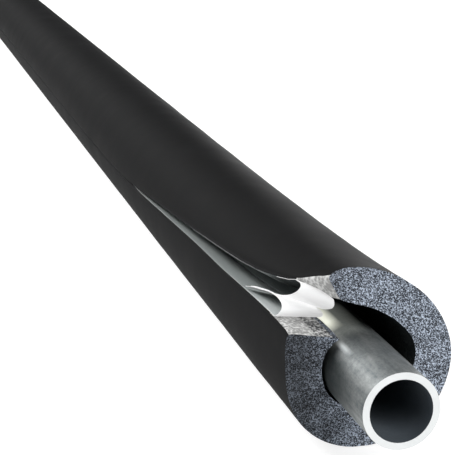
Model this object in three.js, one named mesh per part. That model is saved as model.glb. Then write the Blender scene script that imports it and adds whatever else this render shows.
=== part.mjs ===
// Length of slit pipe lagging on a steel pipe, opened at its near end with the slit's two release
// liners folded back. Millimetres, +Z up, length along Y, opened end at -Y, floor at Z = 0.
import * as THREE from 'three';

// Pipe
const PIPE_OUTER_R = 11;
const PIPE_WALL = 2;
const PIPE_SHOWING = 33;
const PIPE_SIDES = 64;

// Foam tube, closed section
const LAGGING_LENGTH = 2000;
const BORE_R = 12.5;
const FOAM_WALL = 12;
const SLIT_WIDTH = 1.5;
const SIDES = 32;
const LOWER_LIP_STEPS = 3;
const UPPER_LIP_STEPS = 8;

// Release liners
const FILM_THICKNESS = 0.25;
const FILM_GAP = 0.3;
const FILM_COLUMNS = 5;
const FILM_FAR_INSET = 1;
const FILM_EDGE_INSET = 0.02;

// Course of each liner near the opened end, as [station of its outer edge, station of its bore
// edge, fold]. The fold is 0 on its own slit face and 1 at the slit's middle.
const FOLDS = {
  lower: [
    [54, 54, 0], [42, 42.5, 0], [32, 33.5, 0], [24, 26.5, 0], [19, 22.5, 0], [15.4, 19.8, 0],
    [14, 17.8, 0.14], [12.8, 15.8, 0.32], [12.8, 14.2, 0.52], [14.2, 13.3, 0.72], [17.5, 13.8, 0.89],
    [22.5, 16.5, 0.98], [29, 21.5, 0.95], [36.5, 27, 0.77], [44, 36, 0.54], [49, 43, 0.34]],
  upper: [
    [54, 54, 0], [42, 40.5, 0], [32, 27.5, 0], [26, 20, 0], [21.5, 14, 0], [18, 9.3, 0],
    [15, 5.2, 0], [12.6, 1.9, 0], [10.2, 1.3, 0.12], [8.6, 1.2, 0.27], [8.1, 1.9, 0.44],
    [8.9, 3.8, 0.62], [11.3, 7.2, 0.76], [15, 11.5, 0.87], [21.5, 17, 0.98], [29, 22, 1.06],
    [36.5, 28, 1.23], [44, 36, 1.46], [49, 43, 1.66]],
};

// Opening of the slit. Angles in degrees, counter-clockwise from +X seen from the opened end.
const SPREAD_DECAY = 60;

// Lower lip's angle, the slit's width between the lips, and the turn of each slit face about its
// outer edge, as [station, degrees]
const LOWER_LIP = [
  [0, 151], [14, 151], [42, 153.4], [85, 157.9], [115, 160], [145, 163], [205, 169.6],
  [265, 176.5], [320, 179]];
const SLIT_OPENING = [
  [0, 37.3], [4, 34.5], [8, 31], [11, 27.6], [14, 25.2], [18, 23.2], [24, 21.5], [32, 19.3],
  [42, 17.2], [54, 15.4], [70, 13.4], [85, 12], [100, 10.2], [130, 7], [160, 4.6], [190, 3.5]];
const LOWER_FACE_TILT = [[0, -27], [18, -26.5], [32, -21], [54, -12], [85, -4], [115, 0]];
const UPPER_FACE_TILT = [[0, -2.5], [14, -6], [32, -9], [54, -6], [85, -2], [115, 0]];

// Growth of the radius at the opened end, as [angle, millimetres]
const OUTER_GROWTH = [
  [90, 5.5], [108, 5.2], [130, 2.6], [153, 0.9], [163, -0.5], [175, -1.5], [189, -1.6],
  [202, -1.2], [214, -0.6], [228, -0.2], [240, 0], [285, 0], [320, 1.4], [368, 3.05], [400, 3.1],
  [412, 3.3], [424, 3.65], [434, 4.25], [444, 4.9], [452, 5.6], [459, 6.1], [465, 6.3], [472, 5.9]];
const INNER_GROWTH = [
  [90, 6], [122, -1.4], [138, -0.8], [154, -0.4], [194, -0.3], [211, 0], [285, 0], [320, 1.4],
  [365, 3.7], [378, 4.5], [392, 4.4], [407, 4.1], [427, 4.4], [444, 5.4], [462, 7.3], [471, 10.2]];

// Stations along the length, measured back from the opened end
const STATIONS = [
  0, 4, 8, 11, 14, 18, 24, 32, 42, 54, 70, 85, 100, 115, 130, 145, 160, 175, 190, 205, 220, 235,
  250, 265, 280, 300, 320, 500, 1000, 1500, LAGGING_LENGTH];

const rad = THREE.MathUtils.degToRad;
const deg = THREE.MathUtils.radToDeg;
const OUTER_R = BORE_R + FOAM_WALL;
const SIDE_ANGLE = 360 / SIDES;
const FACET = Math.cos(rad(SIDE_ANGLE / 2));
const FIRST_CORNER = 180 + SIDE_ANGLE / 2;
const LAST_CORNER = 450 - SIDE_ANGLE / 2;
const CENTRE_Z = OUTER_R * FACET;
const PIPE_Z = CENTRE_Z - (BORE_R * FACET - FILM_GAP - PIPE_OUTER_R);
const NEAR_Y = -LAGGING_LENGTH / 2;
const HALF_SLIT_OUTER = deg(Math.asin(SLIT_WIDTH / 2 / OUTER_R));
const HALF_SLIT_INNER = deg(Math.asin(SLIT_WIDTH / 2 / BORE_R));

const foamMaterial = new THREE.MeshStandardMaterial({
  name: 'closed_cell_foam', color: 0x1b1c1e, roughness: 0.75, metalness: 0 });
const steelMaterial = new THREE.MeshStandardMaterial({
  name: 'drawn_steel', color: 0x9a9c92, roughness: 0.35, metalness: 1 });
const linerMaterial = new THREE.MeshStandardMaterial({
  name: 'liner_film', color: 0xf2f3f2, roughness: 0.45, metalness: 0 });

// Value of a [key, value] table at a key, straight between entries
function lookUp(table, key) {
  const last = table.length - 1;
  if (key <= table[0][0]) return table[0][1];
  if (key >= table[last][0]) return table[last][1];
  const i = table.findIndex(([k]) => k > key);
  const [k0, v0] = table[i - 1];
  const [k1, v1] = table[i];
  return v0 + (v1 - v0) * (key - k0) / (k1 - k0);
}

// Four angles where the slit's faces meet the tube's outside and bore
function lipAngles(s) {
  const lowerOuter = lookUp(LOWER_LIP, s);
  const upperOuter = lowerOuter - Math.max(lookUp(SLIT_OPENING, s), 2 * HALF_SLIT_OUTER);
  const parallel = HALF_SLIT_INNER - HALF_SLIT_OUTER;
  return {
    lowerOuter,
    upperOuter: upperOuter + 360,
    lowerInner: lowerOuter + lookUp(LOWER_FACE_TILT, s) + parallel,
    upperInner: upperOuter + lookUp(UPPER_FACE_TILT, s) - parallel + 360,
  };
}

// Angles of a section's corners from the lower lip, under the tube, to the upper lip
function cornerAngles(lower, upper) {
  const angles = [];
  for (let i = 0; i < LOWER_LIP_STEPS; i++) {
    angles.push(lower + (FIRST_CORNER - lower) * i / LOWER_LIP_STEPS);
  }
  for (let a = FIRST_CORNER; a < LAST_CORNER; a += SIDE_ANGLE) angles.push(a);
  for (let i = 0; i <= UPPER_LIP_STEPS; i++) {
    angles.push(LAST_CORNER + (upper - LAST_CORNER) * i / UPPER_LIP_STEPS);
  }
  return angles;
}

// Point of a section in the XZ plane
function sectionPoint(radius, growth, angle, s) {
  const r = radius + lookUp(growth, angle) * Math.exp(-s / SPREAD_DECAY);
  return new THREE.Vector2(r * Math.cos(rad(angle)), CENTRE_Z + r * Math.sin(rad(angle)));
}

function outerPoint(angle, s) {
  return sectionPoint(OUTER_R, OUTER_GROWTH, angle, s);
}

function innerPoint(angle, s) {
  return sectionPoint(BORE_R, INNER_GROWTH, angle, s);
}

// Closed mesh through rows of points. Each row goes along one face of a wall and back along the
// other, so that the first and last rows close as strips between the two.
function loft(rows) {
  const width = rows[0].length;
  const points = rows.flat();
  const position = points.flatMap((p) => [p.x, p.y, p.z]);
  const index = [];
  const quad = (a, b, c, d) => {
    const straight = points[a].distanceTo(points[c]) <= points[b].distanceTo(points[d]);
    index.push(...(straight ? [a, b, c, a, c, d] : [b, c, d, b, d, a]));
  };
  for (let r = 0; r + 1 < rows.length; r++) {
    for (let i = 0; i < width; i++) {
      const j = (i + 1) % width;
      quad(r * width + i, (r + 1) * width + i, (r + 1) * width + j, r * width + j);
    }
  }
  const far = (rows.length - 1) * width;
  for (let i = 0; i + 1 < width / 2; i++) {
    const [j, across, back] = [i + 1, width - 2 - i, width - 1 - i];
    quad(i, j, across, back);
    quad(far + i, far + back, far + across, far + j);
  }
  const geometry = new THREE.BufferGeometry();
  geometry.setAttribute('position', new THREE.Float32BufferAttribute(position, 3));
  geometry.setIndex(index);
  const faceted = geometry.toNonIndexed();
  faceted.computeVertexNormals();
  return faceted;
}

function foamGeometry() {
  const rows = STATIONS.map((s) => {
    const lips = lipAngles(s);
    const outer = cornerAngles(lips.lowerOuter, lips.upperOuter).map((a) => outerPoint(a, s));
    const inner = cornerAngles(lips.lowerInner, lips.upperInner).map((a) => innerPoint(a, s));
    return [...outer, ...inner.reverse()].map((p) => new THREE.Vector3(p.x, NEAR_Y + s, p.y));
  });
  return loft(rows);
}

// Straight line across a slit face, from the bore to the outside
function slitFace(s, side) {
  const lips = lipAngles(s);
  return side === 'lower'
    ? [innerPoint(lips.lowerInner, s), outerPoint(lips.lowerOuter, s)]
    : [innerPoint(lips.upperInner, s), outerPoint(lips.upperOuter, s)];
}

// Middle of a liner's film: v across the face, fold 0 on its own face and 1 at the slit's middle
function linerPoint(side, s, v, fold) {
  const own = slitFace(s, side);
  const other = slitFace(s, side === 'lower' ? 'upper' : 'lower');
  const face = own[1].clone().sub(own[0]).normalize();
  const normal = new THREE.Vector2(-face.y, face.x);
  const base = own[0].clone().lerp(own[1], v);
  const across = other[0].clone().lerp(other[1], v).sub(base);
  if (normal.dot(across) < 0) normal.negate();
  const half = across.length() / 2;
  const leg = base.clone().addScaledVector(normal, FILM_GAP + FILM_THICKNESS / 2);
  const back = base.addScaledVector(across.normalize(), half - (FILM_GAP + FILM_THICKNESS) / 2);
  const p = leg.lerp(back, fold);
  return new THREE.Vector3(p.x, NEAR_Y + s, p.y);
}

// Rows of a liner from its far end to its tail, as [outer station, bore station, fold]
function linerCourse(side) {
  const straight = STATIONS.filter((s) => s > FOLDS[side][0][0] && s < LAGGING_LENGTH);
  return [...straight, LAGGING_LENGTH - FILM_FAR_INSET].reverse().map((s) => [s, s, 0])
    .concat(FOLDS[side]);
}

function linerGeometry(side) {
  const columns = [...Array(FILM_COLUMNS).keys()].map((i) => i / (FILM_COLUMNS - 1));
  const middle = linerCourse(side).map(([outer, bore, fold]) => columns.map((share) => {
    const v = FILM_EDGE_INSET + (1 - 2 * FILM_EDGE_INSET) * share;
    return linerPoint(side, bore + (outer - bore) * share, v, fold);
  }));
  const between = (list, i) => [list[Math.max(i - 1, 0)], list[Math.min(i + 1, list.length - 1)]];
  const half = (r, c) => {
    const [before, after] = between(middle, r).map((row) => row[c]);
    const [inside, outside] = between(middle[r], c);
    const along = after.clone().sub(before);
    return along.cross(outside.clone().sub(inside)).setLength(FILM_THICKNESS / 2);
  };
  const rows = middle.map((row, r) => {
    const wall = (sign) => row.map((p, c) => p.clone().addScaledVector(half(r, c), sign));
    return [...wall(1), ...wall(-1).reverse()];
  });
  return loft(rows);
}

function pipeGeometry() {
  const half = LAGGING_LENGTH / 2 + PIPE_SHOWING;
  const inner = PIPE_OUTER_R - PIPE_WALL;
  const profile = [[inner, -half], [PIPE_OUTER_R, -half], [PIPE_OUTER_R, half], [inner, half],
    [inner, -half]].map(([x, y]) => new THREE.Vector2(x, y));
  return new THREE.LatheGeometry(profile, PIPE_SIDES).translate(0, 0, PIPE_Z);
}

function named(name, geometry, material) {
  const mesh = new THREE.Mesh(geometry, material);
  mesh.name = name;
  return mesh;
}

const lagging = new THREE.Group();
lagging.name = 'pipe_lagging';
lagging.add(
  named('foam_tube', foamGeometry(), foamMaterial),
  named('lower_release_liner', linerGeometry('lower'), linerMaterial),
  named('upper_release_liner', linerGeometry('upper'), linerMaterial),
  named('steel_pipe', pipeGeometry(), steelMaterial));

export default lagging;
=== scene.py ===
"""Slit foam pipe lagging on a steel pipe, opened at its near end with its liners folded back.

Metres, +Z up, length along Y, opened end at -Y. The foam and the liners are modelled here over
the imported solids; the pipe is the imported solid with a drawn-steel finish.
"""

import math

import bpy
import numpy as np
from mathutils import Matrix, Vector


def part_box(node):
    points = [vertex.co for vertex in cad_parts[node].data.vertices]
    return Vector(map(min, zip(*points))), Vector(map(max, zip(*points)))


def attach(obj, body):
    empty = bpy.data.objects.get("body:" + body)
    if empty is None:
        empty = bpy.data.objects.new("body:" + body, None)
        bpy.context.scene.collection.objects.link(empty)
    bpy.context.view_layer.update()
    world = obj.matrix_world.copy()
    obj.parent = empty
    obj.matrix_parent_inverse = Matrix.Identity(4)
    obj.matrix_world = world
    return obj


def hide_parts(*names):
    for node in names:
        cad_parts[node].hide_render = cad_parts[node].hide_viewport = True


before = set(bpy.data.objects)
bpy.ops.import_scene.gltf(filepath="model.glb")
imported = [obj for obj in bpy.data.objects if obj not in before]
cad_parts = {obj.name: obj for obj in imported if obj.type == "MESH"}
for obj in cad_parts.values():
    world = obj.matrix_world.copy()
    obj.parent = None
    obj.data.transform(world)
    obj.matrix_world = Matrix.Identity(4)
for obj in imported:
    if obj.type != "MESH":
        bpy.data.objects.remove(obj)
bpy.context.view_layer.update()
SEED = 11
MM = 0.001

# Sizes in millimetres. The solid tube has this many sides and lies on one of them.
BORE_R = 12.5
FOAM_WALL = 12.0
OUTER_R = BORE_R + FOAM_WALL
LENGTH = 2000.0
SOLID_SIDES = 32
CENTRE_Z = OUTER_R * math.cos(math.pi / SOLID_SIDES)
NEAR_Y = -LENGTH / 2

# Lower lip's angle, the slit's width between the lips, and the turn of each slit face about its
# outer edge: [station behind the opened end, degrees]
LOWER_LIP = np.array([
    (0, 152.0), (4, 151.0), (15, 151.0), (40, 153.2), (80, 157.6), (115, 160.0), (150, 163.6),
    (200, 169.0), (260, 176.0), (320, 179.0)])
SLIT_OPENING = np.array([
    (0, 40.5), (2, 37.0), (6, 33.0), (11, 27.4), (16, 24.0), (24, 21.5), (36, 18.5), (48, 16.2),
    (64, 14.0), (84, 12.2), (105, 9.6), (130, 7.0), (155, 4.9), (185, 3.1), (220, 1.7), (250, 0.9),
    (280, 0.4), (312, 0.2)])
LOWER_FACE_TILT = np.array([(0, -27), (18, -26.5), (32, -21), (54, -12), (85, -4), (115, 0)])
UPPER_FACE_TILT = np.array([(0, -2.5), (14, -6), (32, -9), (54, -6), (85, -2), (115, 0)])
# Degrees by which each slit face stands back at the bore, so that the faces stay apart
FACE_GAP = 0.5

# How far the opened end is spread, outside and in the bore: [angle, millimetres], averaged over
# a few degrees. It dies away along the tube with this length.
OUTER_GROWTH = np.array([
    (108, 5.2), (130, 2.6), (153, 0.9), (163, -0.5), (175, -1.5), (189, -1.6), (202, -1.2),
    (214, -0.6), (228, -0.2), (240, 0), (285, 0), (320, 1.4), (368, 3.05), (400, 3.1),
    (412, 3.3), (424, 3.65), (434, 4.25), (444, 4.9), (452, 5.6), (459, 6.1), (465, 6.3),
    (472, 5.9)])
INNER_GROWTH = np.array([
    (90, 6), (122, -1.4), (138, -0.8), (154, -0.4), (194, -0.3), (211, 0), (285, 0), (320, 1.4),
    (365, 3.7), (378, 4.5), (392, 4.4), (407, 4.1), (427, 4.4), (444, 5.4), (462, 7.3),
    (471, 10.2)])
GROWTH_BLUR = (-6, -3, 0, 3, 6)
SPREAD_DECAY = 60.0


def smooth(x):
    """Eased step from 0 to 1."""
    x = np.clip(x, 0, 1)
    return x * x * (3 - 2 * x)


def lip_angles(s):
    """Degrees of the lips at station s: outer edges, lower and upper, then bore edges."""
    def at(table):
        return np.interp(s, table[:, 0], table[:, 1])

    lower = at(LOWER_LIP)
    upper = lower - at(SLIT_OPENING) + 360
    lower_in = lower + at(LOWER_FACE_TILT) + FACE_GAP
    upper_in = upper + at(UPPER_FACE_TILT) - FACE_GAP
    return lower, upper, lower_in, upper_in


def soft_table(table, angle):
    """Value of a growth table, rounded off between its entries."""
    values = [np.interp(angle + d, table[:, 0], table[:, 1]) for d in GROWTH_BLUR]
    return sum(values) / len(values)


def around(radius, growth, angle, s):
    """Section points (x, z) at the given angles of station s."""
    r = radius + soft_table(growth, angle) * np.exp(-s / SPREAD_DECAY)
    a = np.radians(angle)
    return np.stack([r * np.cos(a), CENTRE_Z + r * np.sin(a)], -1)


class Noise:
    """Smooth value noise on a lattice, the same for the same seed."""

    SIZE = 4096
    MIXERS = (73856093, 19349663, 83492791)

    def __init__(self, seed):
        self.table = np.random.default_rng(seed).random(self.SIZE)

    def at_corner(self, i, j, k):
        a, b, c = self.MIXERS
        return self.table[((i * a) ^ (j * b) ^ (k * c)) & (self.SIZE - 1)]

    def __call__(self, p):
        base = np.floor(p).astype(np.int64)
        f = smooth(p - base)
        out = 0
        for corner in np.ndindex(2, 2, 2):
            weight = np.prod([f[..., d] if c else 1 - f[..., d] for d, c in enumerate(corner)], 0)
            out = out + weight * self.at_corner(*(base[..., d] + corner[d] for d in range(3)))
        return out * 2 - 1


noise = Noise(SEED)


def add_mesh(name, verts, faces, materials, material_index):
    """Smooth-shaded mesh object at the origin from millimetre points."""
    mesh = bpy.data.meshes.new(name)
    mesh.from_pydata((np.asarray(verts) * MM).tolist(), [], [list(map(int, f)) for f in faces])
    for m in materials:
        mesh.materials.append(m)
    mesh.polygons.foreach_set("material_index", np.asarray(material_index, np.int32))
    mesh.polygons.foreach_set("use_smooth", [True] * len(faces))
    mesh.update()
    obj = bpy.data.objects.new(name, mesh)
    bpy.context.scene.collection.objects.link(obj)
    return obj


def grid_faces(rows, columns, start=0, closed=False, flip=False):
    """Quads of a rows x columns grid of points, closed round its columns if asked."""
    i, j = np.meshgrid(np.arange(rows - 1), np.arange(columns if closed else columns - 1),
                       indexing="ij")
    k = (j + 1) % columns
    quads = np.stack([i * columns + j, i * columns + k, (i + 1) * columns + k,
                      (i + 1) * columns + j], -1).reshape(-1, 4) + start
    return quads[:, ::-1] if flip else quads


# Materials


def node_group(name, inputs, outputs):
    """Empty shader group with named sockets: returns the tree, its input and its output node."""
    tree = bpy.data.node_groups.new(name, "ShaderNodeTree")
    for label, kind, default in inputs:
        item = tree.interface.new_socket(name=label, in_out="INPUT", socket_type=kind)
        item.default_value = default
    for label, kind in outputs:
        tree.interface.new_socket(name=label, in_out="OUTPUT", socket_type=kind)
    return tree, tree.nodes.new("NodeGroupInput"), tree.nodes.new("NodeGroupOutput")


def math_node(tree, operation, a, b):
    """Math node of two sockets or numbers: its output."""
    node = tree.nodes.new("ShaderNodeMath")
    node.operation = operation
    for socket, value in zip(node.inputs, (a, b)):
        if isinstance(value, (int, float)):
            socket.default_value = value
        else:
            tree.links.new(value, socket)
    return node.outputs[0]


def range_node(tree, value, low, high, to_low=0.0, to_high=1.0):
    """Value mapped from one range to another, and held at its ends."""
    node = tree.nodes.new("ShaderNodeMapRange")
    tree.links.new(value, node.inputs["Value"])
    for label, number in (("From Min", low), ("From Max", high), ("To Min", to_low),
                          ("To Max", to_high)):
        node.inputs[label].default_value = number
    return node.outputs[0]


def between(tree, value, low, high, fade):
    """1 between low and high, fading to 0 over the given stretch outside them."""
    rise = range_node(tree, value, low - fade, low)
    fall = range_node(tree, value, high, high + fade, 1.0, 0.0)
    return math_node(tree, "MULTIPLY", rise, fall)


def noise_node(tree, vector, scale, detail, roughness=0.6):
    """Noise texture whose scale is a number or a socket: its value."""
    node = tree.nodes.new("ShaderNodeTexNoise")
    tree.links.new(vector, node.inputs["Vector"])
    node.inputs["Detail"].default_value = detail
    node.inputs["Roughness"].default_value = roughness
    if isinstance(scale, (int, float)):
        node.inputs["Scale"].default_value = scale
    else:
        tree.links.new(scale, node.inputs["Scale"])
    return node.outputs["Fac"]


# Places of a Mix node's sockets when it mixes colours: factor, first and second colour, result
MIX_INPUTS = (0, 6, 7)
MIX_OUTPUT = 2


def mix_colour(tree, factor, a, b, blend="MIX"):
    """Colour mix of sockets, numbers or colours: its output."""
    node = tree.nodes.new("ShaderNodeMix")
    node.data_type = "RGBA"
    node.blend_type = blend
    for place, value in zip(MIX_INPUTS, (factor, a, b)):
        socket = node.inputs[place]
        if isinstance(value, (int, float)):
            socket.default_value = value
        elif isinstance(value, tuple):
            socket.default_value = (*value, 1)
        else:
            tree.links.new(value, socket)
    return node.outputs[MIX_OUTPUT]


# Shared effects. A cell's tone adds up its wall, its own shade and fine noise, and is then spread
# between these tones and darkened by this power.
CELL_WALL = (0.15, 0.75)
CELL_SHARES = (0.55, 0.35, 0.9)
CELL_TONES = (0.25, 0.77)
CELL_POWER = 1.7
PATCHES_PER_METRE = 160.0
DUST_PER_METRE = 900.0
DUST_FROM = (0.62, 0.8)

# Scale of the fine noise, as a share of the cells per metre, and the mean of a noise
FINE_SCALE = 0.7
NOISE_MEAN = 0.5


def cell_group():
    """Cut foam cells: brightness 0 to 1 and height, from cells of a given size."""
    tree, given, result = node_group(
        "foam_cells",
        [("Vector", "NodeSocketVector", (0, 0, 0)), ("Cells per metre", "NodeSocketFloat", 1400.0),
         ("Patchiness", "NodeSocketFloat", 0.3)],
        [("Tone", "NodeSocketFloat"), ("Height", "NodeSocketFloat")])
    cells = tree.nodes.new("ShaderNodeTexVoronoi")
    cells.feature = "F1"
    tree.links.new(given.outputs["Vector"], cells.inputs["Vector"])
    tree.links.new(given.outputs["Cells per metre"], cells.inputs["Scale"])
    walls = range_node(tree, cells.outputs["Distance"], *CELL_WALL)
    each = tree.nodes.new("ShaderNodeSeparateColor")
    tree.links.new(cells.outputs["Color"], each.inputs[0])
    fine = noise_node(tree, given.outputs["Vector"],
                      math_node(tree, "MULTIPLY", given.outputs["Cells per metre"], FINE_SCALE),
                      4.0, 0.7)
    broad = noise_node(tree, given.outputs["Vector"], PATCHES_PER_METRE, 2.0)
    wall_share, own_share, fine_share = CELL_SHARES
    tone = math_node(tree, "ADD", math_node(tree, "MULTIPLY", walls, wall_share),
                     math_node(tree, "MULTIPLY", each.outputs[0], own_share))
    fine_part = math_node(tree, "MULTIPLY", math_node(tree, "SUBTRACT", fine, NOISE_MEAN),
                          fine_share)
    tone = math_node(tree, "ADD", tone, fine_part)
    patch = math_node(tree, "MULTIPLY", math_node(tree, "SUBTRACT", broad, NOISE_MEAN),
                      given.outputs["Patchiness"])
    tone = range_node(tree, math_node(tree, "ADD", tone, patch), *CELL_TONES)
    tree.links.new(math_node(tree, "POWER", tone, CELL_POWER), result.inputs["Tone"])
    tree.links.new(math_node(tree, "ADD", walls, fine), result.inputs["Height"])
    return tree


def grain_group():
    """Fine surface grain and slow unevenness of a moulded or rolled skin."""
    tree, given, result = node_group(
        "skin_grain",
        [("Vector", "NodeSocketVector", (0, 0, 0)), ("Grain", "NodeSocketFloat", 2500.0),
         ("Waves", "NodeSocketFloat", 60.0)],
        [("Grain", "NodeSocketFloat"), ("Wave", "NodeSocketFloat"), ("Dust", "NodeSocketFloat")])
    fine = noise_node(tree, given.outputs["Vector"], given.outputs["Grain"], 3.0, 0.7)
    wave = noise_node(tree, given.outputs["Vector"], given.outputs["Waves"], 3.0, 0.5)
    specks = noise_node(tree, given.outputs["Vector"], DUST_PER_METRE, 5.0, 0.75)
    dust = range_node(tree, specks, *DUST_FROM)
    for label, value in (("Grain", fine), ("Wave", wave), ("Dust", dust)):
        tree.links.new(value, result.inputs[label])
    return tree


CELLS = cell_group()
GRAIN = grain_group()
WHITE = (1, 1, 1, 1)


class Look:
    """Principled material whose patterns are placed by the piece's own coordinates."""

    def __init__(self, name, colour, roughness, metallic=0.0, specular=0.5):
        self.material = bpy.data.materials.new(name)
        self.material.use_nodes = True
        self.tree = self.material.node_tree
        self.shader = self.tree.nodes["Principled BSDF"]
        self.set("Base Color", (*colour, 1))
        self.set("Roughness", roughness)
        self.set("Metallic", metallic)
        self.set("Specular IOR Level", specular)
        self.where = self.tree.nodes.new("ShaderNodeTexCoord").outputs["Object"]

    def set(self, label, value):
        """Give a shader socket a number or colour, or link another socket to it."""
        if isinstance(value, (int, float, tuple)):
            self.shader.inputs[label].default_value = value
        else:
            self.tree.links.new(value, self.shader.inputs[label])

    def group(self, tree, **values):
        """Place a shared effect with its own values: its outputs."""
        node = self.tree.nodes.new("ShaderNodeGroup")
        node.node_tree = tree
        self.tree.links.new(self.where, node.inputs["Vector"])
        for label, value in values.items():
            node.inputs[label.replace("_", " ")].default_value = value
        return node.outputs

    def axes(self):
        """X, Y and Z of the place on the piece, in metres."""
        node = self.tree.nodes.new("ShaderNodeSeparateXYZ")
        self.tree.links.new(self.where, node.inputs[0])
        return node.outputs

    def stretched(self, scale):
        """The piece's coordinates times a scale for each axis."""
        node = self.tree.nodes.new("ShaderNodeMapping")
        node.inputs["Scale"].default_value = scale
        self.tree.links.new(self.where, node.inputs["Vector"])
        return node.outputs[0]

    def bump(self, height, depth_mm, strength, normal=None):
        """Bump over an earlier one, if given: its normal."""
        node = self.tree.nodes.new("ShaderNodeBump")
        node.inputs["Strength"].default_value = strength
        node.inputs["Distance"].default_value = depth_mm * MM
        self.tree.links.new(height, node.inputs["Height"])
        if normal is not None:
            self.tree.links.new(normal, node.inputs["Normal"])
        self.set("Normal", node.outputs[0])
        return node.outputs[0]


# Values between which most of a noise lies
MIDDLE = (0.3, 0.7)

# Across the tube, the stretch over which cut foam turns from a painted shade on its left to its
# full tone, in metres
PAINTED_SHADE_X = (-0.018, -0.002)

SKIN_DARK = (0.0095, 0.0095, 0.0097)
SKIN_LIGHT = (0.013, 0.0132, 0.0135)
SKIN_DUST = (0.05, 0.05, 0.052)
SKIN_DUST_SHARE = 0.2
SKIN_ROUGHNESS = (0.58, 0.68)
FILM_ROUGHNESS = (0.3, 0.45)


def skin_look():
    """Black moulded skin with a little dust."""
    look = Look("foam_skin", (0.011, 0.011, 0.0113), 0.6, specular=0.015)
    grain = look.group(GRAIN, Grain=2200.0, Waves=45.0)
    t = look.tree
    tone = mix_colour(t, range_node(t, grain["Wave"], *MIDDLE), SKIN_DARK, SKIN_LIGHT)
    dust = math_node(t, "MULTIPLY", grain["Dust"], SKIN_DUST_SHARE)
    look.set("Base Color", mix_colour(t, dust, tone, SKIN_DUST))
    look.set("Roughness", range_node(t, grain["Wave"], *MIDDLE, *SKIN_ROUGHNESS))
    unevenness = look.bump(grain["Wave"], 0.35, 0.5)
    look.bump(grain["Grain"], 0.05, 0.5, unevenness)
    return look.material


def cut_look(name, dark, light, cells, depth_mm, painted_shade_share=1.0, specular=0.3):
    """Foam cells, cut or coated. Towards the left the tone falls to the given share: painted
    shade.
    """
    look = Look(name, light, 0.65, specular=specular)
    found = look.group(CELLS, Cells_per_metre=cells, Patchiness=0.5)
    t = look.tree
    colour = mix_colour(t, found["Tone"], dark, light)
    share = range_node(t, look.axes()[0], *PAINTED_SHADE_X, painted_shade_share, 1.0)
    grey = t.nodes.new("ShaderNodeCombineColor")
    for socket in grey.inputs:
        t.links.new(share, socket)
    look.set("Base Color", mix_colour(t, 1.0, colour, grey.outputs[0], "MULTIPLY"))
    look.bump(found["Height"], depth_mm, 0.8)
    return look.material


def film_look(name, shade, light, painted_glow=0.0, specular=0.5, further=None, further_y=None):
    """Plain film or metal. Over the stretch further_y along Y it turns to the colour further."""
    # The glow is painted light: the piece glows though it is no lamp.     """     look = Look(name, light, 0.38, specular=specular)
    look = Look(name, light, 0.38, specular=specular)
    grain = look.group(GRAIN, Grain=1500.0, Waves=120.0)
    t = look.tree
    tone = mix_colour(t, grain["Wave"], shade, light)
    if further:
        tone = mix_colour(t, range_node(t, look.axes()[1], *further_y), tone, further)
    look.set("Base Color", tone)
    look.set("Roughness", range_node(t, grain["Grain"], *MIDDLE, *FILM_ROUGHNESS))
    look.set("Emission Color", WHITE)
    look.set("Emission Strength", painted_glow)
    look.bump(grain["Wave"], 0.25, 0.5)
    return look.material


# How far from its middle the pipe is dulled, and over what stretch that fades, in metres
PIPE_DULL = 0.955
PIPE_DULL_FADE = 0.02

# Painted highlights on top of the pipe at the mouth, which also glow, in metres: stretch along Y
# and its fade, stretch across and its fade, and the heights between which it rises
MOUTH_HIGHLIGHT = ((-0.983, -0.966), 0.008, (-0.0095, -0.005), 0.0028, (0.0275, 0.0295))
SHEEN = ((-0.994, -0.972), 0.006, (-0.012, -0.002), 0.006, (0.029, 0.0325))
SPOT = ((-1.005, -1.002), 0.0055, (-0.0068, -0.0066), 0.0009, (0.029, 0.031))

# Shade on the pipe's left flank by the mouth: its border leans by this much across for each
# metre along, fades between these two values, and ends at these places along Y, in metres
FLANK_SLOPE = 0.13
FLANK_EDGE = (0.1208, 0.1232)
FLANK_Y = (-1.05, -0.985)
FLANK_FADE = 0.01
FLANK_STRENGTH = 0.8

# Mottle between which the steel turns from its dark to its light tone. It adds up streaks along
# the pipe, blotches and grain, in these shares. The scales are those on each axis, per metre.
MOTTLE = (0.38, 0.62)
MOTTLE_SHARES = (0.35, 0.45, 0.2)
STREAKS = (420.0, 30.0, 420.0)
BLOTCHES = (190.0, 110.0, 190.0)
STEEL_ROUGHNESS = (0.62, 0.48)
STEEL_METALLIC = 0.6

# The steel's tones, and the painted light of its highlights at the mouth
STEEL_DARK = (0.1, 0.115, 0.12)
STEEL_LIGHT = (0.28, 0.292, 0.287)
STEEL_DUST = (0.1, 0.108, 0.104)
STEEL_DUST_SHARE = 0.5
DULL_TONE = (0.3, 0.34, 0.333)
FLANK_TONE = (0.035, 0.042, 0.042)
MOUTH_HIGHLIGHT_TONE = (0.6, 0.61, 0.52)
MOUTH_HIGHLIGHT_GLOW = (0.86, 0.87, 0.75)
SHEEN_GLOW = (0.085, 0.09, 0.082)
SPOT_GLOW = (0.42, 0.44, 0.44)


def painted_highlight_place(tree, axes, along, along_fade, across, across_fade, rise):
    """1 on one painted highlight on the pipe's top, fading to 0 round it."""
    x, y, z = axes
    flat = math_node(tree, "MULTIPLY", between(tree, y, *along, along_fade),
                     between(tree, x, *across, across_fade))
    return math_node(tree, "MULTIPLY", flat, range_node(tree, z, *rise))


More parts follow.
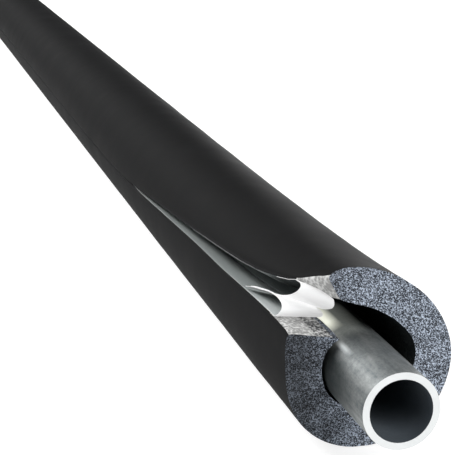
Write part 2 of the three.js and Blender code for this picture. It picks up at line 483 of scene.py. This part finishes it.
def steel_look():
    """Drawn steel, mottled, duller where the foam covers it; painted highlights and shade at the
    mouth.
    """
    look = Look("drawn_steel_pipe", (0.3, 0.31, 0.3), 0.5, STEEL_METALLIC, 0.2)
    t = look.tree
    streaks = noise_node(t, look.stretched(STREAKS), 1.0, 5.0, 0.65)
    blotches = noise_node(t, look.stretched(BLOTCHES), 1.0, 4.0, 0.7)
    grain = look.group(GRAIN, Grain=1500.0, Waves=80.0)
    streak_share, blotch_share, grain_share = MOTTLE_SHARES
    mottle = math_node(t, "ADD", math_node(t, "MULTIPLY", streaks, streak_share),
                       math_node(t, "MULTIPLY", blotches, blotch_share))
    mottle = math_node(t, "ADD", mottle, math_node(t, "MULTIPLY", grain["Grain"], grain_share))
    tone = mix_colour(t, range_node(t, mottle, *MOTTLE), STEEL_DARK, STEEL_LIGHT)
    dust = math_node(t, "MULTIPLY", grain["Dust"], STEEL_DUST_SHARE)
    tone = mix_colour(t, dust, tone, STEEL_DUST)

    axes = look.axes()
    x, y, _ = axes
    covered = between(t, y, -PIPE_DULL, PIPE_DULL, PIPE_DULL_FADE)
    tone = mix_colour(t, covered, tone, DULL_TONE)
    leaning = math_node(t, "SUBTRACT", x, math_node(t, "MULTIPLY", y, FLANK_SLOPE))
    flank = math_node(t, "MULTIPLY", range_node(t, leaning, *FLANK_EDGE, FLANK_STRENGTH, 0.0),
                      between(t, y, *FLANK_Y, FLANK_FADE))
    tone = mix_colour(t, flank, tone, FLANK_TONE)
    # Painted highlight: a pale reflection by the mouth, in the base colour and glowing.
    mouth_highlight = painted_highlight_place(t, axes, *MOUTH_HIGHLIGHT)
    look.set("Base Color", mix_colour(t, mouth_highlight, tone, MOUTH_HIGHLIGHT_TONE))

    # Painted sheen and highlight spot, glowing though the pipe is no lamp.
    painted_glow = mix_colour(t, painted_highlight_place(t, axes, *SHEEN), (0, 0, 0), SHEEN_GLOW)
    painted_glow = mix_colour(t, painted_highlight_place(t, axes, *SPOT), painted_glow, SPOT_GLOW)
    look.set("Emission Color", mix_colour(t, mouth_highlight, painted_glow, MOUTH_HIGHLIGHT_GLOW))
    look.set("Emission Strength", 1.0)
    look.set("Metallic", range_node(t, covered, 0.0, 1.0, STEEL_METALLIC, 0.0))
    look.set("Roughness", range_node(t, mottle, *MOTTLE, *STEEL_ROUGHNESS))
    fine = look.bump(grain["Grain"], 0.03, 0.5)
    look.bump(streaks, 0.04, 0.5, fine)
    return look.material


SKIN = skin_look()
BORE_SKIN = cut_look("bore_skin", (0.02, 0.023, 0.024), (0.05, 0.057, 0.058), 1600.0, 0.05,
                     specular=0.1)
# The slit faces under the liners are near-black: painted shade in the narrow slit.
SLIT_FACE_PAINTED_SHADE = cut_look("slit_face_painted_shade", (0.006, 0.006, 0.0065), (0.016, 0.016, 0.017),
                        1600.0, 0.05, specular=0.04)
# The cut ends darken towards their left in the colour itself: painted shade.
CUT = cut_look("cut_cells", (0.016, 0.019, 0.025), (0.59, 0.67, 0.8), 2600.0, 0.45, 0.22)
LOWER_ADHESIVE = cut_look("lower_adhesive", (0.24, 0.24, 0.235), (0.62, 0.62, 0.61), 1000.0,
                          0.25)
UPPER_ADHESIVE = cut_look("upper_adhesive", (0.34, 0.34, 0.335), (0.7, 0.7, 0.69), 900.0, 0.2)
WORN = cut_look("worn_adhesive", (0.03, 0.032, 0.034), (0.66, 0.66, 0.65), 1100.0, 0.4)
# The liner film glows: painted light that evens out its shading.
FILM = film_look("liner_white", (0.45, 0.455, 0.46), (0.5, 0.5, 0.495), 0.46)
# The lower fold's inside darkens further in along Y: painted shade.
LOWER_INSIDE = film_look("lower_fold_inside", (0.54, 0.57, 0.565), (0.62, 0.65, 0.645),
                         further=(0.34, 0.365, 0.36), further_y=(-0.965, -0.945))
# The upper fold's inside is a dark copy of the film's back: painted shade.
UPPER_INSIDE = film_look("upper_fold_inside", (0.055, 0.07, 0.07), (0.075, 0.09, 0.09),
                         specular=0.1)
# The upper fold's ceiling is dark by the mouth and light further in: painted shade and light.
UPPER_CEILING = film_look("upper_fold_ceiling", (0.035, 0.04, 0.04), (0.05, 0.056, 0.056),
                          specular=0.05, further=(0.5, 0.53, 0.53), further_y=(-0.97, -0.945))
STEEL = steel_look()
# The pipe's bore is darker than its outside: painted shade inside the bore.
STEEL_BORE = film_look("steel_pipe_bore", (0.07, 0.085, 0.1), (0.12, 0.138, 0.155),
                       specular=0.3)
# The sawn ring glows a little: painted light.
STEEL_CUT = film_look("sawn_steel", (0.56, 0.58, 0.58), (0.7, 0.72, 0.72), 0.08)


# Foam tube. Each station has one loop of columns: round the outside from the lower lip to the
# upper one, down the upper slit face, back round the bore, and up the lower slit face.

AROUND = 320
ACROSS = 32
LOWER_OUT = 0
UPPER_OUT = AROUND - 1
UPPER_IN = AROUND + ACROSS - 1
LOWER_IN = 2 * AROUND + ACROSS - 2

# Passes that round off each of these corners, and columns on either side that they move. Along
# the tube the rounding falls between these stations to this share.
CORNERS = ((LOWER_OUT, 6), (UPPER_OUT, 24), (UPPER_IN, 8), (LOWER_IN, 6))
CORNER_REACH = 8
SOFT_STATIONS = (110, 220)
SOFT_SHARE = (1, 0.1)

# Columns of the lower slit face where the adhesive is gone and where it is worn, and stations
# from which the liners cover the slit faces, upper and lower
BARE_COLUMNS = 4
WORN_COLUMNS = 14
COVERED_FROM = (14, 21)

# Unevenness of the skin, and of the cut ends: [millimetres, waves per millimetre]
SKIN_WAVES = ((0.10, 0.045), (0.05, 0.16))
CUT_WAVES = ((0.16, 1.5), (0.14, 0.35))
CUT_DEPTH = 0.12

# Heights between which the skin's unevenness starts, so that the tube lies flat
LYING_HEIGHTS = (3, 9)

# Stations of the loops, closer together near the opened end
STATIONS = np.array(
    [0, 0.8, 2, 3.5, 5, 6.5, 8, 10, 12, 14, 16, 18.5, 21, 24, 28, 32, 36, 41, 46, 52, 58, 65, 73,
     82, 92, 104, 118, 132, 146, 160, 175, 190, 205, 220, 235, 250, 265, 280, 295, 312, 330, 355,
     385, 420, 460, 510]
    + list(np.linspace(570, LENGTH - 6, 24)) + [LENGTH - 2, LENGTH - 0.8, LENGTH])


def section(s):
    """Loop of (x, z) points round the foam at station s, from the lower lip under the tube."""
    low_out, up_out, low_in, up_in = lip_angles(s)
    outer = around(OUTER_R, OUTER_GROWTH, np.linspace(low_out, up_out, AROUND), s)
    inner = around(BORE_R, INNER_GROWTH, np.linspace(low_in, up_in, AROUND), s)
    v = np.arange(1, ACROSS)[:, None] / ACROSS
    upper_face = outer[-1] * (1 - v) + inner[-1] * v
    lower_face = inner[0] * (1 - v) + outer[0] * v
    return np.concatenate([outer, upper_face, inner[::-1], lower_face])


def round_off(loop, corner, passes):
    """Soften one corner of a loop: the points round it drift to their neighbours' mean."""
    n = len(loop)
    away = np.arange(-CORNER_REACH, CORNER_REACH + 1)
    near = (away + corner) % n
    weight = (1 - np.abs(away) / (CORNER_REACH + 1))[:, None]
    for _ in range(passes):
        mean = (loop[(near - 1) % n] + loop[(near + 1) % n]) / 2
        loop[near] += (mean - loop[near]) * weight


def waves(points, sizes):
    """Noise of several sizes added up, in millimetres."""
    return sum(noise(points * per_mm) * size for size, per_mm in sizes)


def tube_loops():
    """Points of the tube: a loop for each station."""
    loops = []
    for s in STATIONS:
        loop = section(s)
        softness = np.interp(s, SOFT_STATIONS, SOFT_SHARE)
        for corner, passes in CORNERS:
            round_off(loop, corner, round(passes * softness))
        loops.append(np.stack([loop[:, 0], np.full(len(loop), NEAR_Y + s), loop[:, 1]], -1))
    loops = np.array(loops)
    out = (loops - (0, 0, CENTRE_Z)) * (1, 0, 1)
    out /= np.linalg.norm(out, axis=-1, keepdims=True)
    low, high = LYING_HEIGHTS
    lifted = smooth((loops[..., 2] - low) / (high - low))
    outside = np.arange(loops.shape[1]) <= UPPER_OUT
    loops += out * (waves(loops, SKIN_WAVES) * lifted * outside)[..., None]
    loops[..., 2] = np.maximum(loops[..., 2], 0)
    return loops


def side_looks(columns):
    """Look of each face along the tube."""
    rows = np.repeat(np.arange(len(STATIONS) - 1), columns)
    column = np.tile(np.arange(columns), len(STATIONS) - 1)
    on_upper = (column >= UPPER_OUT) & (column < UPPER_IN - 1)
    covered = STATIONS[rows] >= np.where(on_upper, *COVERED_FROM)
    cases = [
        (column < UPPER_OUT, "skin"), (on_upper & covered, "covered"), (on_upper, "upper"),
        (column < LOWER_IN, "bore"), (covered, "covered"),
        (column == LOWER_IN, "lower"), (column <= LOWER_IN + BARE_COLUMNS, "cut"),
        (column <= LOWER_IN + WORN_COLUMNS, "worn")]
    return np.select([where for where, _ in cases], [LOOK_AT[name] for _, name in cases],
                     LOOK_AT["lower"])


def end_cap(loop, first, count, near):
    """Cut end of a loop whose columns start at index first: its new points and its faces.

    The cap is a grid, AROUND long and as wide as the wall. Its border is the loop, and its new
    points are numbered from count.
    """
    across = (np.arange(ACROSS + 1) / ACROSS)[None, :, None]
    inner = loop[UPPER_IN:LOWER_IN + 1][::-1]
    cap = loop[:AROUND][:, None] * (1 - across) + inner[:, None] * across
    cap[-1] = loop[UPPER_OUT:UPPER_IN + 1]
    cap[0, 1:-1] = loop[LOWER_IN + 1:][::-1]
    grain = waves(cap, CUT_WAVES) - CUT_DEPTH
    cap[1:-1, 1:-1, 1] -= (grain * (1 if near else -1))[1:-1, 1:-1]
    index = np.full((AROUND, ACROSS + 1), -1)
    index[:, 0] = first + np.arange(AROUND)
    index[:, -1] = first + LOWER_IN - np.arange(AROUND)
    index[-1] = first + UPPER_OUT + np.arange(ACROSS + 1)
    index[0, 1:-1] = first + (LOWER_IN + 1 + np.arange(ACROSS - 1))[::-1]
    index[1:-1, 1:-1] = count + np.arange((AROUND - 2) * (ACROSS - 1)).reshape(AROUND - 2, -1)
    quads = np.stack([index[:-1, :-1], index[1:, :-1], index[1:, 1:], index[:-1, 1:]], -1)
    quads = quads.reshape(-1, 4)
    return cap[1:-1, 1:-1].reshape(-1, 3), quads if near else quads[:, ::-1]


FOAM_LOOKS = {"skin": SKIN, "bore": BORE_SKIN, "lower": LOWER_ADHESIVE, "cut": CUT, "worn": WORN,
              "upper": UPPER_ADHESIVE, "covered": SLIT_FACE_PAINTED_SHADE}
LOOK_AT = {name: place for place, name in enumerate(FOAM_LOOKS)}
FOAM_CREASE = 38


def foam_tube():
    """The slit tube, closed, with its two cut ends."""
    loops = tube_loops()
    rows, columns = loops.shape[:2]
    verts = [loops.reshape(-1, 3)]
    faces = [grid_faces(rows, columns, closed=True, flip=True)]
    looks = [side_looks(columns)]
    count = rows * columns
    for row in (0, rows - 1):
        points, quads = end_cap(loops[row], row * columns, count, row == 0)
        verts.append(points)
        faces.append(quads)
        looks.append(np.full(len(quads), LOOK_AT["cut"]))
        count += len(points)
    obj = add_mesh("foam_tube_shown", np.concatenate(verts), np.concatenate(faces),
                   FOAM_LOOKS.values(), np.concatenate(looks))
    obj.data.set_sharp_from_angle(angle=math.radians(FOAM_CREASE))
    return obj


foam = foam_tube()
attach(foam, "root")
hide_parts("foam_tube")


# Release liners, each a strip of film as wide as the wall

# Half the film's thickness, and how far its middle lies off a slit face, in millimetres. Where
# the slit is too narrow, it keeps these shares of the way to the slit's middle instead.
FILM_HALF = 0.06
FILM_LIFT = 0.12
NARROW_LIFT = 0.5
NARROW_BACK = 0.6

# Points across the film, steps between two rows of its course, and the film's crease angle
FILM_COLUMNS = 24
FOLD_STEPS = 5
FILM_CREASE = 50

# How near the film comes to the outside of the wall, 1 being flush: stations and shares. At the
# bore it keeps this share of the wall away.
EDGE_AT = {"lower": ((215, 300), (0.995, 0.8)), "upper": ((20, 34, 60), (0.997, 0.97, 0.8))}
BORE_EDGE_AT = 0.01

# Rows of FOLDS up to which the film's edges have its inside's look, a painted shade in the slit,
# and up to which the upper film is the hollow's ceiling, with its painted shade and light
EDGE_ROWS = 3
CEILING_ROWS = 12

# Course of each liner near the opened end: [station of its outer edge, station of its bore edge,
# fold]. The fold is 0 on its own slit face and 1 at the slit's middle.
FOLDS = {
    "lower": [
        (54, 54, 0), (42, 42.5, 0), (32, 33.5, 0), (24, 26.5, 0), (19, 22.5, 0), (15.4, 19.8, 0),
        (14, 17.8, 0.14), (12.8, 15.8, 0.32), (12.8, 14.2, 0.52), (14.2, 13.3, 0.72),
        (17.5, 13.8, 0.89), (22.5, 16.5, 0.98), (29, 21.5, 0.95), (36.5, 27, 0.77),
        (44, 36, 0.54), (50, 44, 0.22)],
    "upper": [
        (54, 54, 0), (42, 40.5, 0), (32, 27.5, 0), (26, 20, 0), (21.5, 14, 0), (18, 9.3, 0),
        (15, 6.0, 0), (12.6, 3.2, 0), (10.2, 2.7, 0.12), (8.6, 2.7, 0.27), (8.1, 3.3, 0.44),
        (8.9, 5.0, 0.62), (11.3, 8.0, 0.76), (15, 12, 0.87), (21.5, 17, 0.98),
        (29, 22, 1.03), (36.5, 28, 1.2), (44, 36, 1.43), (50, 44, 1.74)],
}


def through(rows, steps):
    """Catmull-Rom curve through the rows, with so many steps from each to the next."""
    p = np.array(rows, float)
    p = np.concatenate([[2 * p[0] - p[1]], p, [2 * p[-1] - p[-2]]])
    t = (np.arange(steps) / steps)[:, None]
    parts = [0.5 * (2 * b + (c - a) * t + (2 * a - 5 * b + 4 * c - d) * t ** 2
                    + (3 * b - a - 3 * c + d) * t ** 3)
             for a, b, c, d in zip(p, p[1:], p[2:], p[3:])]
    return np.concatenate(parts + [p[-2:-1]])


def slit_face(s, side):
    """Bore edge and outer edge (x, z) of a slit face at station s."""
    low_out, up_out, low_in, up_in = lip_angles(s)
    out, inner = (low_out, low_in) if side == "lower" else (up_out, up_in)
    return (around(BORE_R, INNER_GROWTH, np.array(inner), s),
            around(OUTER_R, OUTER_GROWTH, np.array(out), s))


def film_point(side, s, v, fold):
    """Point of the film's middle: v across the wall from the bore, fold as in FOLDS."""
    own_in, own_out = slit_face(s, side)
    other_in, other_out = slit_face(s, "upper" if side == "lower" else "lower")
    face = (own_out - own_in) / np.linalg.norm(own_out - own_in)
    normal = np.array([-face[1], face[0]])
    base = own_in + (own_out - own_in) * v
    across = other_in + (other_out - other_in) * v - base
    normal *= 1 if normal @ across > 0 else -1
    half = np.linalg.norm(across) / 2
    across /= 2 * half
    on_face = base + normal * min(FILM_LIFT, half * NARROW_LIFT)
    folded_back = base + across * max(half - FILM_LIFT, half * NARROW_BACK)
    p = on_face * (1 - fold) + folded_back * fold
    return np.array([p[0], NEAR_Y + s, p[1]])


def film_middle(side, course):
    """Grid of points of the film's middle, a row for each step of its course."""
    rows = []
    for outer, bore, fold in course:
        edge = np.interp(outer, *EDGE_AT[side])
        rows.append([
            film_point(side, bore + (outer - bore) * share,
                       BORE_EDGE_AT + (edge - BORE_EDGE_AT) * share, max(fold, 0))
            for share in np.linspace(0, 1, FILM_COLUMNS)])
    return np.array(rows)


def liner(side):
    """One release liner: both sides of the film, and its edges all round."""
    straight = [(s, s, 0.0) for s in STATIONS[::-1] if FOLDS[side][0][0] < s < LENGTH - 1]
    course = straight + [tuple(row) for row in through(FOLDS[side], FOLD_STEPS)]
    middle = film_middle(side, course)
    normal = np.cross(np.gradient(middle, axis=0), np.gradient(middle, axis=1))
    normal /= np.linalg.norm(normal, axis=-1, keepdims=True)
    rows, columns = middle.shape[:2]
    verts = np.concatenate([(middle + normal * FILM_HALF).reshape(-1, 3),
                            (middle - normal * FILM_HALF).reshape(-1, 3)])
    n = rows * columns
    border = np.concatenate([
        np.arange(columns), np.arange(1, rows) * columns + columns - 1,
        (rows - 1) * columns + np.arange(columns - 1)[::-1],
        np.arange(1, rows - 1)[::-1] * columns])
    after = np.roll(border, -1)
    faces = [grid_faces(rows, columns, flip=True), grid_faces(rows, columns, start=n),
             np.stack([border, after, after + n, border + n], -1)]

    outside = 0
    inside = 1
    ceiling = 2
    step = np.repeat(np.arange(rows - 1), columns - 1)
    if side == "lower":
        looks = [FILM, LOWER_INSIDE]
        plus = np.full(len(step), outside)
        minus = np.full(len(step), inside)
    else:
        looks = [FILM, UPPER_INSIDE, UPPER_CEILING]
        # The upper film's back takes the dark ceiling and inside looks: painted shade.
        plus = np.where(step < len(straight) + FOLD_STEPS * CEILING_ROWS, ceiling, inside)
        minus = np.full(len(step), outside)
    # Film edges in the slit take the inside's darker look: painted shade.
    painted_shade_edge = border // columns < len(straight) + FOLD_STEPS * EDGE_ROWS
    kinds = np.concatenate([plus, minus, np.where(painted_shade_edge, inside, outside)])
    obj = add_mesh(side + "_liner_shown", verts, np.concatenate(faces), looks, kinds)
    obj.data.set_sharp_from_angle(angle=math.radians(FILM_CREASE))
    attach(obj, "root")
    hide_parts(side + "_release_liner")


for side in ("lower", "upper"):
    liner(side)


# Steel pipe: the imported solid, shaded round

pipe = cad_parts["steel_pipe"]
pipe.data.materials.clear()
PIPE_LOOKS = {"outside": STEEL, "ring": STEEL_CUT, "bore": STEEL_BORE}
for look in PIPE_LOOKS.values():
    pipe.data.materials.append(look)


def shade_round(mesh):
    """Normals square to the pipe's axis on its round faces, and flat ones on its end rings."""
    place = list(PIPE_LOOKS).index
    low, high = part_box("steel_pipe")
    axis_z = (low.z + high.z) / 2
    mesh.polygons.foreach_set("use_smooth", [True] * len(mesh.polygons))
    normals = []
    parts = []
    for face in mesh.polygons:
        flat = face.normal
        ring = abs(flat.y) > 0.5
        outward = Vector((face.center.x, 0, face.center.z - axis_z)).dot(flat) > 0
        parts.append(place("ring" if ring else "outside" if outward else "bore"))
        for i in face.loop_indices:
            p = mesh.vertices[mesh.loops[i].vertex_index].co
            out = Vector((p.x, 0, p.z - axis_z)).normalized()
            normals.append(flat if ring else out if outward else -out)
    mesh.polygons.foreach_set("material_index", parts)
    mesh.normals_split_custom_set([tuple(n) for n in normals])


shade_round(pipe.data)


# Floor, light and camera

# Half the floor's width, how far it lies under the part, in metres, and how much it glows
FLOOR_HALF = 40.0
FLOOR_GAP = 0.0004
FLOOR_GLOW = 0.86


def floor_plane():
    """White floor, wide enough to fill low views."""
    h = FLOOR_HALF
    mesh = bpy.data.meshes.new("floor")
    mesh.from_pydata([(-h, -h, 0), (h, -h, 0), (h, h, 0), (-h, h, 0)], [], [(0, 1, 2, 3)])
    obj = bpy.data.objects.new("floor", mesh)
    bpy.context.scene.collection.objects.link(obj)
    obj.location.z = -FLOOR_GAP
    look = Look("floor_white", (0.3, 0.3, 0.3), 0.9, specular=0.1)
    look.set("Emission Color", WHITE)
    look.set("Emission Strength", FLOOR_GLOW)
    mesh.materials.append(look.material)


floor_plane()


def area_light(name, place, target, width, height, power):
    """White area light, in metres and watts, turned to its target."""
    data = bpy.data.lights.new(name, "AREA")
    data.shape = "RECTANGLE"
    data.size = width
    data.size_y = height
    data.energy = power
    obj = bpy.data.objects.new(name, data)
    bpy.context.scene.collection.objects.link(obj)
    obj.location = place
    obj.rotation_euler = (Vector(target) - Vector(place)).to_track_quat("-Z", "Y").to_euler()


NEAR = (0, -1.0, 0.03)
area_light("key_front", (0.35, -2.0, 0.9), NEAR, 0.8, 0.8, 16)
area_light("side_left", (-1.0, 0.1, 1.4), (0, -0.4, 0), 1.6, 0.8, 38)
area_light("back_left", (-1.1, 1.8, 1.2), (0, 0.2, 0), 1.4, 0.8, 19)
area_light("rim_right", (1.3, 1.0, 0.2), (0, -0.3, 0), 1.6, 0.3, 15)

# Soft fill light from all round, and a pale backdrop that only shows behind the floor
FILL_STRENGTH = 0.12
FILL_COLOUR = (0.92, 0.95, 1.0, 1)
BACKDROP_COLOUR = (0.94, 0.94, 0.94, 1)

world = bpy.data.worlds.new("studio")
world.use_nodes = True
world_nodes = world.node_tree.nodes
world_links = world.node_tree.links
soft_fill = world_nodes["Background"]
soft_fill.inputs["Color"].default_value = FILL_COLOUR
soft_fill.inputs["Strength"].default_value = FILL_STRENGTH
backdrop = world_nodes.new("ShaderNodeBackground")
backdrop.inputs["Color"].default_value = BACKDROP_COLOUR
seen = world_nodes.new("ShaderNodeMixShader")
world_links.new(world_nodes.new("ShaderNodeLightPath").outputs["Is Camera Ray"], seen.inputs[0])
world_links.new(soft_fill.outputs[0], seen.inputs[1])
world_links.new(backdrop.outputs[0], seen.inputs[2])
world_links.new(seen.outputs[0], world_nodes["World Output"].inputs["Surface"])
bpy.context.scene.world = world
bpy.context.scene.view_settings.view_transform = "Standard"

# Camera fitted to the photo: its focal length in pixels, the middle of the pipe's near ring, the
# eye seen from there, in metres, and how far it looks down and to the right, in degrees. It sees
# up to 50 m, so that the floor isn't cut off.
SENSOR_MM = 36
PHOTO_WIDTH = 467
FOCAL_PIXELS = 1471.07
PIPE_END = Vector((0, -1.033, 0.02324))
EYE_FROM_PIPE_END = Vector((-0.13203, -0.34791, 0.14376))
LOOKS_DOWN = 14.138
LOOKS_RIGHT = 13.841
SEES_UP_TO = 50

camera = bpy.data.cameras.new("camera")
camera.sensor_width = SENSOR_MM
camera.lens = SENSOR_MM * FOCAL_PIXELS / PHOTO_WIDTH
camera.clip_end = SEES_UP_TO
eye = bpy.data.objects.new("camera", camera)
bpy.context.scene.collection.objects.link(eye)
eye.location = PIPE_END + EYE_FROM_PIPE_END
eye.rotation_euler = (math.radians(90 - LOOKS_DOWN), 0, math.radians(-LOOKS_RIGHT))
bpy.context.scene.camera = eye

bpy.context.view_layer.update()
